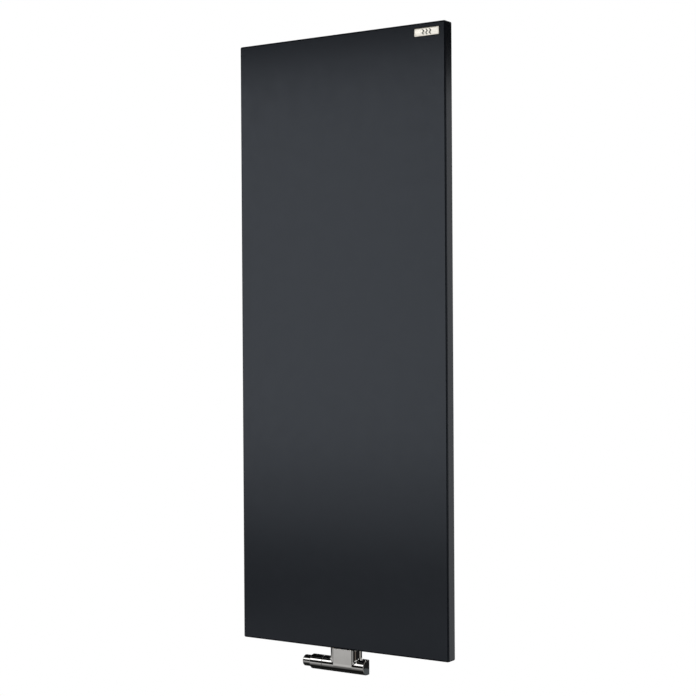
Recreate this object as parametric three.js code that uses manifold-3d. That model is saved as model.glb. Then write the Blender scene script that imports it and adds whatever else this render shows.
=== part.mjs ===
// A vertical design radiator with a centre-connected thermostatic valve under its lower edge.
//
// Millimetres, +Z up. +X is to the right for someone who faces the radiator, and +Y goes into the wall.
// The origin lies in the wall plane, straight behind the middle of the casing's lower edge.

import * as THREE from "three";
import { mergeVertices } from "three/addons/utils/BufferGeometryUtils.js";
import Module from "manifold-3d";

const wasm = await Module();
wasm.setup();

// ---------------------------------------------------------------- driving dimensions

const GAP = 0.3; // between neighbouring solids

// The folded sheet casing.
const WIDTH = 600;
const HEIGHT = 1500;
const CASING_DEPTH = 30;
const SHEET = 2;
const BEND_RADIUS = 3;
const FRONT_TO_WALL = 80;

// The water-carrying core behind the front sheet.
const HEADER = 35; // the headers are square tubes of this size
const HEADER_WALL = 2;
const HEADER_LENGTH = 560;
const HEADER_CLEARANCE = 12; // from the casing's lower or upper edge
const CORE_SETBACK = 2.5; // from the casing's front face to the core's
const RISERS = 8;
const RISER_PITCH = 68;
const RISER_WIDTH = 50;
const RISER_DEPTH = 25;
const RISER_WALL = 1.5;
const CONNECTION_PITCH = 50; // standard centre connection
const CONNECTION_SETBACK = 20; // from the casing's front face to the connections' axes

// The valve.
const VALVE_DROP = 42.4; // from the casing's lower edge to the head's axis
const COVER_RADIUS = 18.2;
const COVER_WALL = 1.6;
const COVER_LEFT = -62;
const COVER_RIGHT = 60;
const COVER_BACK = 11; // the cover's back plane, behind the head's axis
const COVER_TOP_GAP = 1.5; // between the cover and the casing
const SLEEVE_RADIUS = 17.5; // the cover's two upright sleeves
const SLEEVE_BORE = 16;
const PLATE_HALF_WIDTH = 28.5;
const PLATE_THICKNESS = 3;
const HEAD_END = -99;
const TIP_END = -122.4;
const TIP_RADIUS = 13.85;

// The wall fixings.
const FIXING_X = 2.5 * RISER_PITCH; // behind the third riser on either side
const FIXING_HEIGHTS = { top: 1360, bottom: 140 };
const STEEL = 3;
const BRACKET_WIDTH = 28;
const BRACKET_HALF_HEIGHT = 45;

// The badge on the casing's front.
const BADGE = { width: 67.5, height: 19, cornerRadius: 2.5, thickness: 1, edge: 0.4, x: 250.7, z: 1477.5 };

const SIDES = [
  [-1, "left"],
  [1, "right"],
];

const COLOURS = {
  powderCoat: { color: 0x2f3238, roughness: 0.45, metalness: 0 },
  chrome: { color: 0xd6d6d8, roughness: 0.06, metalness: 1 },
  nickel: { color: 0xc9c4b8, roughness: 0.25, metalness: 1 },
  brass: { color: 0xb08d4a, roughness: 0.35, metalness: 1 },
  zinc: { color: 0xb4b8bb, roughness: 0.4, metalness: 1 },
  steel: { color: 0xa9abad, roughness: 0.3, metalness: 1 },
  nylon: { color: 0x202124, roughness: 0.6, metalness: 0 },
  fibre: { color: 0x4a4f48, roughness: 0.8, metalness: 0 },
  rubber: { color: 0x141414, roughness: 0.9, metalness: 0 },
};

// ---------------------------------------------------------------- solids

// A closed three.js geometry as a solid that can be joined and cut.
function solid(geometry) {
  const bare = geometry.index ? geometry.toNonIndexed() : geometry.clone();
  bare.deleteAttribute("normal");
  bare.deleteAttribute("uv");
  const merged = mergeVertices(bare, 1e-4);
  const mesh = new wasm.Mesh({
    numProp: 3,
    vertProperties: merged.attributes.position.array,
    triVerts: new Uint32Array(merged.index.array),
  });
  return new wasm.Manifold(mesh);
}

// A solid as a three.js geometry.
function surface(body) {
  const mesh = body.getMesh();
  const geometry = new THREE.BufferGeometry();
  geometry.setAttribute("position", new THREE.BufferAttribute(mesh.vertProperties, 3));
  geometry.setIndex(new THREE.BufferAttribute(mesh.triVerts, 1));
  geometry.computeVertexNormals();
  return geometry;
}

function join(...geometries) {
  return surface(geometries.map(solid).reduce((sum, next) => sum.add(next)));
}

function cut(geometry, ...tools) {
  return surface(tools.map(solid).reduce((rest, tool) => rest.subtract(tool), solid(geometry)));
}

// A box between two limits on each axis.
function block([x0, x1], [y0, y1], [z0, z1]) {
  const box = new THREE.BoxGeometry(x1 - x0, y1 - y0, z1 - z0);
  return box.translate((x0 + x1) / 2, (y0 + y1) / 2, (z0 + z1) / 2);
}

// Turns a geometry that was made along +Y so that it lies along another axis.
function along(axis, geometry) {
  if (axis === "x") geometry.rotateZ(-Math.PI / 2);
  if (axis === "z") geometry.rotateX(Math.PI / 2);
  return geometry;
}

// A round bar along an axis, from one place on it to another; at is a point that the axis goes through.
function rod(axis, radius, from, to, at = [0, 0, 0], sides = 16) {
  const bar = new THREE.CylinderGeometry(radius, radius, to - from, sides);
  bar.translate(0, (from + to) / 2, 0);
  return along(axis, bar).translate(...at);
}

// A round bar with a round hole through it.
function pipe(axis, outer, inner, from, to, at = [0, 0, 0], sides = 16) {
  const over = 1; // the hole's tool runs past both ends
  return cut(rod(axis, outer, from, to, at, sides), rod(axis, inner, from - over, to + over, at, sides));
}

// A turned piece: its profile is a list of [radius, place along the axis], from low to high.
function turned(axis, profile, sides = 16) {
  const points = profile.map(([radius, place]) => new THREE.Vector2(radius, place));
  return along(axis, new THREE.LatheGeometry(points, sides));
}

// A hexagonal bar, given across its flats.
function hexagon(axis, flats, from, to, at = [0, 0, 0]) {
  return rod(axis, flats / Math.sqrt(3), from, to, at, 6);
}

// The outline of a rectangle with round corners, about its centre.
function roundedRectangle(width, height, radius) {
  const x = width / 2 - radius;
  const y = height / 2 - radius;
  const outline = new THREE.Shape();
  outline.absarc(x, y, radius, 0, Math.PI / 2);
  outline.absarc(-x, y, radius, Math.PI / 2, Math.PI);
  outline.absarc(-x, -y, radius, Math.PI, 1.5 * Math.PI);
  outline.absarc(x, -y, radius, 1.5 * Math.PI, 2 * Math.PI);
  outline.closePath();
  return outline;
}

// A rectangular tube along +Z, about its centre, with round corners.
function squareTube(width, depth, wall, length) {
  const cornerRadius = 2 * wall;
  const outline = roundedRectangle(width, depth, cornerRadius);
  outline.holes.push(roundedRectangle(width - 2 * wall, depth - 2 * wall, cornerRadius - wall));
  return new THREE.ExtrudeGeometry(outline, { depth: length, bevelEnabled: false, curveSegments: 3 });
}

// ---------------------------------------------------------------- the scene graph

const radiator = new THREE.Group();

// One named mesh for each physical piece, with a material of its own.
function addPiece(group, name, geometry, look, place = [0, 0, 0]) {
  const mesh = new THREE.Mesh(geometry, new THREE.MeshStandardMaterial(look));
  mesh.name = name;
  mesh.position.set(...place);
  group.add(mesh);
}

function addGroup(parent, place) {
  const group = new THREE.Group();
  group.position.set(...place);
  parent.add(group);
  return group;
}

// ---------------------------------------------------------------- casing
// In this group y = 0 is the casing's front face.

function casing() {
  const over = 20; // the pan is drawn deeper than it is and trimmed at its back edge
  const pan = new THREE.ExtrudeGeometry(roundedRectangle(WIDTH, HEIGHT, BEND_RADIUS + 0.2), {
    depth: CASING_DEPTH + over - 2 * BEND_RADIUS,
    bevelSize: BEND_RADIUS,
    bevelOffset: -BEND_RADIUS,
    bevelThickness: BEND_RADIUS,
    bevelSegments: 5,
    curveSegments: 3,
  });
  pan.rotateX(Math.PI / 2);
  pan.translate(0, CASING_DEPTH + over - BEND_RADIUS, HEIGHT / 2);
  const beyond = [CASING_DEPTH, CASING_DEPTH + 2 * over];
  const inside = WIDTH / 2 - SHEET;
  const notchRadius = 15;
  const half = CONNECTION_PITCH / 2;
  return cut(
    pan,
    block([-WIDTH, WIDTH], beyond, [-over, HEIGHT + over]),
    block([-inside, inside], [SHEET, CASING_DEPTH + over], [SHEET, HEIGHT - SHEET]),
    ...SIDES.map(([side]) => rod("z", notchRadius, -over, over, [side * half, CONNECTION_SETBACK, 0])),
  );
}

function badge() {
  const { width, height, cornerRadius, thickness, edge } = BADGE;
  const plate = new THREE.ExtrudeGeometry(roundedRectangle(width, height, cornerRadius), {
    depth: thickness - edge,
    bevelSize: edge,
    bevelOffset: -edge,
    bevelThickness: edge,
    bevelSegments: 1,
    curveSegments: 3,
  });
  return plate.rotateX(Math.PI / 2);
}

function addCasing(parent) {
  const group = addGroup(parent, [0, -FRONT_TO_WALL, 0]);
  addPiece(group, "casing", casing(), COLOURS.powderCoat);
  addPiece(group, "badge_plate", badge(), COLOURS.nickel, [BADGE.x, -GAP - BADGE.edge, BADGE.z]);
}

// ---------------------------------------------------------------- core
// In this group y = 0 is the plane of the headers' axes.

const HEADER_AXIS_Z = {
  bottom: HEADER_CLEARANCE + HEADER / 2,
  top: HEIGHT - HEADER_CLEARANCE - HEADER / 2,
};
const RISER_AXIS_Y = CORE_SETBACK + RISER_DEPTH / 2 - CONNECTION_SETBACK;
const VENT_X = 238;

function riserPlaces() {
  return Array.from({ length: RISERS }, (_, i) => (i - (RISERS - 1) / 2) * RISER_PITCH);
}

// A header about its own centre; towards is +1 if the risers stand on it and -1 if they hang from it.
function header(towards) {
  const tube = squareTube(HEADER, HEADER, HEADER_WALL, HEADER_LENGTH);
  tube.translate(0, 0, -HEADER_LENGTH / 2);
  tube.rotateY(Math.PI / 2);
  const wall = [HEADER / 2 - HEADER_WALL - 1, HEADER / 2 + 1];
  const throughWall = towards > 0 ? wall : [-wall[1], -wall[0]];
  const ledge = 4; // of the header's wall, inside the riser's outline
  const port = { halfWidth: RISER_WIDTH / 2 - ledge, halfDepth: RISER_DEPTH / 2 - ledge };
  const ports = riserPlaces().map((x) =>
    block(
      [x - port.halfWidth, x + port.halfWidth],
      [RISER_AXIS_Y - port.halfDepth, RISER_AXIS_Y + port.halfDepth],
      throughWall,
    ),
  );
  return { tube, ports };
}

function bottomHeader() {
  const { tube, ports } = header(1);
  const tapRadius = 9.5;
  const half = CONNECTION_PITCH / 2;
  const taps = SIDES.map(([side]) => rod("z", tapRadius, -HEADER, 0, [side * half, 0, 0]));
  return cut(tube, ...ports, ...taps);
}

function topHeader() {
  const { tube, ports } = header(-1);
  const ventHoleRadius = 5;
  return cut(tube, ...ports, rod("y", ventHoleRadius, 0, HEADER, [VENT_X, 0, 0]));
}

// A square plate across a header, from x = 0 on.
function crossPlate(size, cornerRadius, thickness) {
  const plate = new THREE.ExtrudeGeometry(roundedRectangle(size, size, cornerRadius), {
    depth: thickness,
    bevelEnabled: false,
    curveSegments: 3,
  });
  return plate.rotateY(Math.PI / 2);
}

function addCore(parent) {
  const group = addGroup(parent, [0, CONNECTION_SETBACK - FRONT_TO_WALL, 0]);
  addPiece(group, "header_bottom", bottomHeader(), COLOURS.powderCoat, [0, 0, HEADER_AXIS_Z.bottom]);
  addPiece(group, "header_top", topHeader(), COLOURS.powderCoat, [0, 0, HEADER_AXIS_Z.top]);

  const capThickness = 2.5;
  const capPlaces = { right: HEADER_LENGTH / 2 + GAP, left: -HEADER_LENGTH / 2 - GAP - capThickness };
  for (const [level, z] of Object.entries(HEADER_AXIS_Z)) {
    for (const [side, x] of Object.entries(capPlaces)) {
      const cap = crossPlate(HEADER, 2 * HEADER_WALL, capThickness);
      addPiece(group, `header_cap_${level}_${side}`, cap, COLOURS.powderCoat, [x, 0, z]);
    }
  }

  const riserBottom = HEADER_AXIS_Z.bottom + HEADER / 2 + GAP;
  const riserTop = HEADER_AXIS_Z.top - HEADER / 2 - GAP;
  riserPlaces().forEach((x, i) => {
    const riser = squareTube(RISER_WIDTH, RISER_DEPTH, RISER_WALL, riserTop - riserBottom);
    addPiece(group, `riser_${i + 1}`, riser, COLOURS.powderCoat, [x, RISER_AXIS_Y, riserBottom]);
  });

  // The divider sends the water up one half of the radiator and down the other.
  const dividerThickness = 2;
  const divider = crossPlate(HEADER - 2 * HEADER_WALL - 2 * GAP, HEADER_WALL, dividerThickness);
  const dividerPlace = [-dividerThickness / 2, 0, HEADER_AXIS_Z.bottom];
  addPiece(group, "flow_divider", divider, COLOURS.steel, dividerPlace);

  const socketRadius = 13;
  const socketBore = 10.7;
  const socketBottom = 0.5;
  const socketTop = HEADER_CLEARANCE - GAP;
  for (const [side, name] of SIDES) {
    const socket = pipe("z", socketRadius, socketBore, socketBottom, socketTop);
    addPiece(group, `socket_${name}`, socket, COLOURS.powderCoat, [(side * CONNECTION_PITCH) / 2, 0, 0]);
  }
  addVent(group);
}

// The air vent on the back of the top header. In this group y = 0 is the header's back face.
function addVent(parent) {
  const group = addGroup(parent, [VENT_X, HEADER / 2, HEADER_AXIS_Z.top]);
  const boss = { radius: 12.5, length: 8 };
  const plugFlats = 22;
  const plugRadius = 8.5;
  const plugBore = 3.2;
  const plugEnd = boss.length + 5;
  const bossPipe = pipe("y", boss.radius, plugRadius + GAP, GAP, boss.length);
  addPiece(group, "vent_boss", bossPipe, COLOURS.powderCoat);
  const thread = rod("y", plugRadius, 1, boss.length + 1);
  const head = hexagon("y", plugFlats, boss.length + GAP, plugEnd);
  const plug = cut(join(thread, head), rod("y", plugBore, 0, 2 * boss.length));
  addPiece(group, "vent_plug", plug, COLOURS.nickel);
  const shank = rod("y", plugBore - GAP, 2, plugEnd + 1);
  const squareHalf = 2.5;
  const across = [-squareHalf, squareHalf];
  const square = block(across, [plugEnd + 0.5, plugEnd + 6], across);
  addPiece(group, "bleed_screw", join(shank, square), COLOURS.nickel);
}

// ---------------------------------------------------------------- wall fixings
// In each group y = 0 is the wall and z = 0 is the top of the bracket's arm.

const RISER_BACK = CORE_SETBACK + RISER_DEPTH - FRONT_TO_WALL;
const ISOLATOR_BASE = 2.5;
const HOOK = { front: -44, height: 16 };

// The strap that is welded to the back of a riser, and hangs on the bracket by its web's lower edge.
function lug() {
  const halfWidth = 20;
  const webBack = -32.2;
  const top = 40;
  const outer = block(
    [-halfWidth, halfWidth],
    [RISER_BACK + GAP, webBack],
    [ISOLATOR_BASE + GAP, top],
  );
  const pocket = [-halfWidth + STEEL, halfWidth - STEEL];
  return cut(outer, block(pocket, [RISER_BACK - 1, webBack - STEEL], [0, top + 1]));
}

// A strip bent to shape, drawn as its side view and given its width along X.
function strip(sideView, width) {
  const outline = new THREE.Shape(sideView.map(([y, z]) => new THREE.Vector2(y, z)));
  const flat = new THREE.ExtrudeGeometry(outline, { depth: width, bevelEnabled: false });
  return flat.rotateX(Math.PI / 2).rotateZ(Math.PI / 2).translate(-width / 2, 0, 0);
}

const SLOT = { width: 8, height: 14, offset: 28 };

function bracket() {
  const plate = strip(
    [
      [0, -BRACKET_HALF_HEIGHT],
      [0, BRACKET_HALF_HEIGHT],
      [-STEEL, BRACKET_HALF_HEIGHT],
      [-STEEL, 0],
      [HOOK.front + STEEL, 0],
      [HOOK.front + STEEL, HOOK.height],
      [HOOK.front, HOOK.height],
      [HOOK.front, -STEEL],
      [-STEEL, -STEEL],
      [-STEEL, -BRACKET_HALF_HEIGHT],
    ],
    BRACKET_WIDTH,
  );
  const slots = SIDES.map(([side]) => {
    const outline = roundedRectangle(SLOT.width, SLOT.height, SLOT.width / 2 - 0.01);
    const tool = new THREE.ExtrudeGeometry(outline, {
      depth: 4 * STEEL,
      bevelEnabled: false,
      curveSegments: 3,
    });
    return tool.rotateX(Math.PI / 2).translate(0, 2 * STEEL, side * SLOT.offset);
  });
  return cut(plate, ...slots);
}

// The clip that keeps steel off steel: a saddle for the lug's web, between two ribs.
function isolator() {
  const front = { outer: HOOK.front + STEEL + GAP, inner: -38, top: 13 };
  const rib = { front: -29.5, back: -27, top: 9 };
  const back = -24;
  return strip(
    [
      [front.outer, GAP],
      [back, GAP],
      [back, ISOLATOR_BASE],
      [rib.back, ISOLATOR_BASE],
      [rib.back, rib.top],
      [rib.front, rib.top],
      [rib.front, ISOLATOR_BASE],
      [front.inner, ISOLATOR_BASE],
      [front.inner, front.top],
      [front.outer, front.top],
    ],
    BRACKET_WIDTH,
  );
}

function addFixings(parent) {
  for (const [level, z] of Object.entries(FIXING_HEIGHTS)) {
    for (const [side, name] of SIDES) {
      const group = addGroup(parent, [side * FIXING_X, 0, z]);
      addPiece(group, `lug_${level}_${name}`, lug(), COLOURS.powderCoat);
      addPiece(group, `bracket_${level}_${name}`, bracket(), COLOURS.zinc);
      addPiece(group, `isolator_${level}_${name}`, isolator(), COLOURS.nylon);
    }
  }
}

// ---------------------------------------------------------------- valve
// In this group the x axis is the axis of the thermostatic head.

const TOP = VALVE_DROP - COVER_TOP_GAP; // the cover's upper edge
const UNION = { top: 33.5, lip: 31.5, shoulder: 28.4, face: 26.2, bottom: 15 };
const STUB_RADIUS = 12.4;
const TAIL_RADIUS = 10.4;
const CHAMBER = { radius: 11, seat: 18, wall: 2, seatRadius: 5.5, innerRadius: 9 };
const OUTLET = { radius: 13.2, start: 10, end: 26 };
const LEG_BORE = 8;
const NECK = { radius: 14.7, from: -50, to: -39 }; // which carries the head's nut
const HALF_PITCH = CONNECTION_PITCH / 2;

// The barrel of the cover, seen along x: a half round in front, and straight sides behind it.
function barrel(radius, from, to, edge) {
  const outline = new THREE.Shape();
  const back = COVER_BACK + 2; // trimmed to the back plane afterwards
  outline.absarc(0, 0, radius, Math.PI / 2, 1.5 * Math.PI);
  outline.lineTo(back, -radius);
  outline.lineTo(back, radius);
  outline.closePath();
  const bar = new THREE.ExtrudeGeometry(outline, {
    depth: to - from - 2 * edge,
    bevelEnabled: edge > 0,
    bevelSize: edge,
    bevelOffset: -edge,
    bevelThickness: edge,
    bevelSegments: 2,
    curveSegments: 16,
  });
  return bar.rotateX(Math.PI / 2).rotateZ(Math.PI / 2).translate(from + edge, 0, 0);
}

// The flat plate in front of the sleeves. It runs down into the barrel's crown.
function coverPlate() {
  const edge = 1.2;
  const bottom = -3;
  const back = -COVER_RADIUS + PLATE_THICKNESS;
  const outline = roundedRectangle(2 * PLATE_HALF_WIDTH, TOP - bottom, 2);
  const plate = new THREE.ExtrudeGeometry(outline, {
    depth: PLATE_THICKNESS - edge,
    bevelSize: edge,
    bevelOffset: -edge,
    bevelThickness: edge,
    bevelSegments: 3,
    curveSegments: 3,
  });
  plate.rotateX(Math.PI / 2);
  plate.translate(0, back, (TOP + bottom) / 2);
  return cut(plate, block([-WIDTH, WIDTH], [back, 0], [-HEIGHT, HEIGHT]));
}

function cover() {
  const shoulder = -42; // left of here the barrel is round all the way
  const barrelSides = 32;
  const sleeveSides = 28;
  const upright = (radius, top) =>
    SIDES.map(([side]) => rod("z", radius, 0, top, [side * HALF_PITCH, 0, 0], sleeveSides));
  const inner = COVER_RADIUS - COVER_WALL;
  const outside = join(
    rod("x", COVER_RADIUS, COVER_LEFT, 0, [0, 0, 0], barrelSides),
    barrel(COVER_RADIUS, shoulder, COVER_RIGHT, 1.2),
    coverPlate(),
    ...upright(SLEEVE_RADIUS, TOP),
  );
  return cut(
    outside,
    ...upright(SLEEVE_BORE, TOP + 1),
    rod("x", inner, COVER_LEFT - 1, 0, [0, 0, 0], barrelSides),
    barrel(inner, shoulder, COVER_RIGHT - COVER_WALL, 0),
    block([-WIDTH, WIDTH], [COVER_BACK, FRONT_TO_WALL], [-HEIGHT, HEIGHT]),
  );
}

// The brass body: two legs, a crossing bore for the inserts, and two outlets towards the wall.
function valveBody() {
  const barrelRadius = 14.5;
  const barrelEnd = 40;
  const material = [
    rod("x", barrelRadius, -barrelEnd, barrelEnd),
    rod("x", NECK.radius, NECK.from, NECK.to),
    block([-38, 38], [2, 18], [-13.5, 13.5]),
    ...SIDES.map(([side]) => rod("z", STUB_RADIUS, 0, UNION.face, [side * HALF_PITCH, 0, 0])),
    ...SIDES.map(([side]) =>
      rod("y", OUTLET.radius, OUTLET.start, OUTLET.end, [side * HALF_PITCH, 0, 0]),
    ),
  ];
  const hollows = SIDES.flatMap(([side]) => {
    const between = (a, b) => [side * a, side * b].sort((p, q) => p - q);
    const { radius, seat, wall, seatRadius, innerRadius } = CHAMBER;
    const behind = radius + 2.2;
    const channelBack = 16;
    const channel = [-5, 5];
    const place = [side * HALF_PITCH, 0, 0];
    return [
      rod("z", LEG_BORE, 0, UNION.face + 1, place),
      rod("x", radius, ...between(seat, 1 - NECK.from)),
      rod("x", seatRadius, ...between(seat - wall - 1, seat + 1)),
      rod("x", innerRadius, ...between(5, seat - wall)),
      rod("y", LEG_BORE, behind, OUTLET.end + 1, place),
      block(between(6, HALF_PITCH), [behind, channelBack], channel),
      block(between(6, 14), [5, channelBack], channel),
    ];
  });
  return cut(join(...material), ...hollows);
}

function tailPiece() {
  const top = VALVE_DROP + 11;
  const bore = 7.5;
  const collar = 12.4;
  const profile = [
    [bore, UNION.shoulder],
    [collar, UNION.shoulder],
    [collar, UNION.lip - GAP],
    [TAIL_RADIUS, UNION.lip - GAP],
    [TAIL_RADIUS, top],
    [bore, top],
    [bore, UNION.shoulder],
  ];
  return turned("z", profile);
}

function unionNut() {
  const flats = 27;
  const hex = hexagon("z", flats, UNION.bottom, UNION.top);
  const thread = rod("z", STUB_RADIUS + 0.5, UNION.bottom - 1, UNION.lip);
  return cut(hex, thread, rod("z", TAIL_RADIUS + 0.5, UNION.lip - 1, UNION.top + 1));
}

function addConnections(group) {
  for (const [side, name] of SIDES) {
    const place = [side * HALF_PITCH, 0, 0];
    addPiece(group, `tail_piece_${name}`, tailPiece(), COLOURS.brass, place);
    addPiece(group, `union_nut_${name}`, unionNut(), COLOURS.brass, place);
    const washer = pipe("z", 12.2, LEG_BORE, UNION.face + GAP, UNION.shoulder - GAP);
    addPiece(group, `gasket_${name}`, washer, COLOURS.fibre, place);
  }
}

// The thermostatic insert in the left leg: pressing its stem in closes the valve.
const BONNET = { inner: -34, guide: -38, outer: -58, springBore: 6 };
const STEM = { radius: 1.7, tip: -61, collar: -48, collarRadius: 5, flange: -22.5, end: -21.1 };

function bonnet() {
  return cut(
    rod("x", CHAMBER.radius - GAP, BONNET.outer, BONNET.inner),
    rod("x", BONNET.springBore, BONNET.outer - 1, BONNET.guide),
    rod("x", STEM.radius + GAP, BONNET.guide - 1, BONNET.inner + 1),
  );
}

function stemSpring() {
  const wire = 0.5;
  const radius = 4.2;
  const turns = 4;
  const from = STEM.collar + 1 + GAP + wire;
  const to = BONNET.guide - GAP - wire;
  class Helix extends THREE.Curve {
    getPoint(t, target = new THREE.Vector3()) {
      const angle = 2 * Math.PI * turns * t;
      return target.set(from + (to - from) * t, radius * Math.cos(angle), radius * Math.sin(angle));
    }
  }
  const section = new THREE.Shape();
  section.absarc(0, 0, wire, 0, 2 * Math.PI);
  return new THREE.ExtrudeGeometry(section, {
    extrudePath: new Helix(),
    steps: 10 * turns,
    curveSegments: 3,
  });
}

function addInsert(group) {
  addPiece(group, "insert_bonnet", bonnet(), COLOURS.brass);
  const glandRadius = BONNET.springBore - GAP;
  const gland = pipe("x", glandRadius, STEM.radius + GAP, BONNET.outer + 0.5, BONNET.outer + 6);
  addPiece(group, "insert_gland", gland, COLOURS.nickel);
  const stem = join(
    rod("x", STEM.radius, STEM.tip, STEM.end, [0, 0, 0], 10),
    rod("x", STEM.collarRadius, STEM.collar, STEM.collar + 1),
    rod("x", 6, STEM.flange, STEM.end),
  );
  addPiece(group, "valve_stem", stem, COLOURS.steel);
  const disc = rod("x", 7.5, STEM.end + GAP, -CHAMBER.seat - GAP);
  addPiece(group, "valve_disc", disc, COLOURS.rubber);
  addPiece(group, "stem_spring", stemSpring(), COLOURS.steel);
}

// The lockshield in the right leg: its spindle turns in place and drives a cone along its thread.
function addLockshield(group) {
  const bonnetEnds = { inner: 34, hexagon: 40.5, outer: 47 };
  const bonnetFlats = 22;
  const spindle = { radius: 3.5, from: 24.5, to: 52, collarRadius: 5, keyFlats: 4 };
  const cone = { tipRadius: 4.6, tip: 22.2, radius: 7.2, shoulder: 24.2, end: 31.2 };

  const bonnetBody = join(
    rod("x", CHAMBER.radius - GAP, bonnetEnds.inner, bonnetEnds.hexagon + 0.5),
    hexagon("x", bonnetFlats, bonnetEnds.hexagon, bonnetEnds.outer),
  );
  const bonnetBore = rod("x", spindle.radius + GAP, bonnetEnds.inner - 1, bonnetEnds.outer + 1);
  addPiece(group, "lockshield_bonnet", cut(bonnetBody, bonnetBore), COLOURS.nickel);

  const collar = rod("x", spindle.collarRadius, cone.end + GAP, bonnetEnds.inner - GAP);
  const shaft = rod("x", spindle.radius, spindle.from, spindle.to);
  const keyHole = hexagon("x", spindle.keyFlats, bonnetEnds.outer, spindle.to + 1);
  addPiece(group, "lockshield_spindle", cut(join(shaft, collar), keyHole), COLOURS.steel);

  const coneProfile = [
    [0, cone.tip],
    [cone.tipRadius, cone.tip],
    [cone.radius, cone.shoulder],
    [cone.radius, cone.end],
    [spindle.radius + GAP, cone.end],
    [spindle.radius + GAP, cone.shoulder],
    [0, cone.shoulder],
  ];
  addPiece(group, "lockshield_cone", turned("x", coneProfile), COLOURS.brass);
}

// The thermostatic head. Its handwheel turns in place on the base, and drives the sensor along the axis.
function addHead(group) {
  const nut = { bore: NECK.radius + GAP, lip: 13.2, radius: 16.2, from: -56, shoulder: -52, to: -43 };
  const nutProfile = [
    [nut.bore, nut.shoulder],
    [nut.lip, nut.shoulder],
    [nut.lip, nut.from],
    [nut.radius, nut.from],
    [nut.radius, nut.to],
    [nut.bore, nut.to],
    [nut.bore, nut.shoulder],
  ];
  addPiece(group, "head_nut", turned("x", nutProfile), COLOURS.chrome);

  const base = { bore: 10, radius: 12.9, from: -88, rimBore: 11.2, rimStart: -60 };
  const rim = { from: nut.shoulder + GAP, to: NECK.from - GAP };
  const baseProfile = [
    [base.bore, base.from],
    [base.radius, base.from],
    [base.radius, rim.from],
    [NECK.radius, rim.from],
    [NECK.radius, rim.to],
    [base.rimBore, rim.to],
    [base.rimBore, base.rimStart],
    [base.bore, base.rimStart],
    [base.bore, base.from],
  ];
  addPiece(group, "head_base", turned("x", baseProfile), COLOURS.nylon);

  const wheel = { bore: 13.3, endBore: 12, endStart: -90, start: COVER_LEFT - 0.6 };
  const wheelProfile = [
    [wheel.bore, wheel.start],
    [wheel.bore, wheel.endStart],
    [wheel.endBore, wheel.endStart],
    [wheel.endBore, HEAD_END],
    [COVER_RADIUS - 2.5, HEAD_END],
    [COVER_RADIUS - 0.7, HEAD_END + 0.7],
    [COVER_RADIUS, HEAD_END + 2.5],
    [COVER_RADIUS, wheel.start - 0.5],
    [COVER_RADIUS - 0.5, wheel.start],
    [wheel.bore, wheel.start],
  ];
  addPiece(group, "handwheel", turned("x", wheelProfile, 28), COLOURS.chrome);

  const spigot = { outer: wheel.endBore - GAP, inner: 9.9, end: -92 };
  const shell = { bore: 11.5, end: 2, face: HEAD_END - GAP };
  const tipProfile = [
    [spigot.inner, spigot.end],
    [spigot.inner, shell.face],
    [shell.bore, shell.face - 1.5],
    [shell.bore, TIP_END + shell.end],
    [0, TIP_END + shell.end],
    [0, TIP_END],
    [TIP_RADIUS - 3, TIP_END],
    [TIP_RADIUS - 0.9, TIP_END + 0.9],
    [TIP_RADIUS, TIP_END + 3],
    [TIP_RADIUS, shell.face],
    [spigot.outer, shell.face],
    [spigot.outer, spigot.end],
    [spigot.inner, spigot.end],
  ];
  addPiece(group, "head_tip", turned("x", tipProfile, 24), COLOURS.chrome);

  const sensor = { radius: 9.6, from: -112, to: -66, edge: 1, pinRadius: 2.5 };
  const pinEnd = STEM.tip - GAP;
  const sensorProfile = [
    [0, sensor.from],
    [sensor.radius - sensor.edge, sensor.from],
    [sensor.radius, sensor.from + sensor.edge],
    [sensor.radius, sensor.to - sensor.edge],
    [sensor.radius - sensor.edge, sensor.to],
    [sensor.pinRadius, sensor.to],
    [sensor.pinRadius, pinEnd],
    [0, pinEnd],
  ];
  addPiece(group, "sensor_element", turned("x", sensorProfile), COLOURS.nylon);
}

function addValve(parent) {
  const group = addGroup(parent, [0, CONNECTION_SETBACK - FRONT_TO_WALL, -VALVE_DROP]);
  addPiece(group, "valve_cover", cover(), COLOURS.chrome);
  addPiece(group, "valve_body", valveBody(), COLOURS.brass);
  addConnections(group);
  addInsert(group);
  addLockshield(group);
  addHead(group);
}

addCasing(radiator);
addCore(radiator);
addFixings(radiator);
addValve(radiator);

export default radiator;
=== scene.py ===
# A vertical design radiator with a centre-connected thermostatic valve, in the row frame, in metres.
#
# +X is to the right for someone who faces the radiator, +Y goes into the wall and +Z is up.
# Shapes are drawn in millimetres and scaled once, where a piece is made.
import math

import bmesh
import bpy
import numpy as np
from mathutils import Matrix, Vector
from mathutils.geometry import tessellate_polygon


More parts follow.
